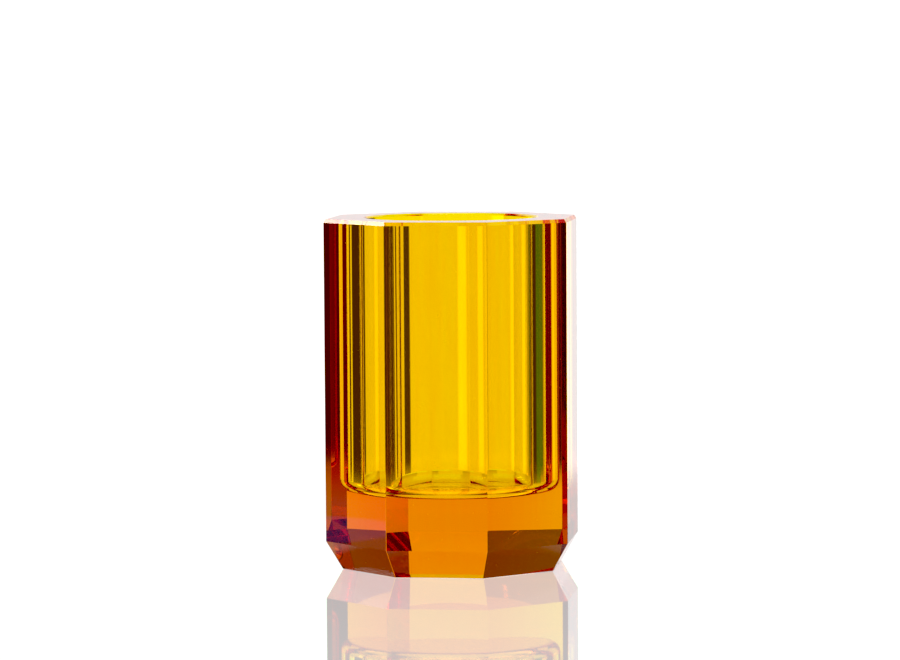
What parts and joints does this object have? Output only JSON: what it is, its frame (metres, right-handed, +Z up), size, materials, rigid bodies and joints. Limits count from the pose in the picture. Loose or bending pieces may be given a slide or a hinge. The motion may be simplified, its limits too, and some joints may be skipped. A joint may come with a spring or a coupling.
{
  "type": "octagonal glass candle holder",
  "caption": "Thick octagonal cut-crystal candle cup in amber glass, with a wide round blind bore, bevelled foot and polished rim.",
  "frame": {"origin": "middle of the flat resting face at the bottom", "axes": "+Z up along the bore; the eight ground facets face +X, -X, +Y, -Y and the directions halfway between"},
  "size_m": [0.08, 0.08, 0.1155],
  "materials": {
    "amber_crystal": "polished cut crystal, coloured through, yellow where thin and orange where thick"
  },
  "bodies": {
    "root": {"crystal_body": "amber_crystal"}
  },
  "joints": []
}
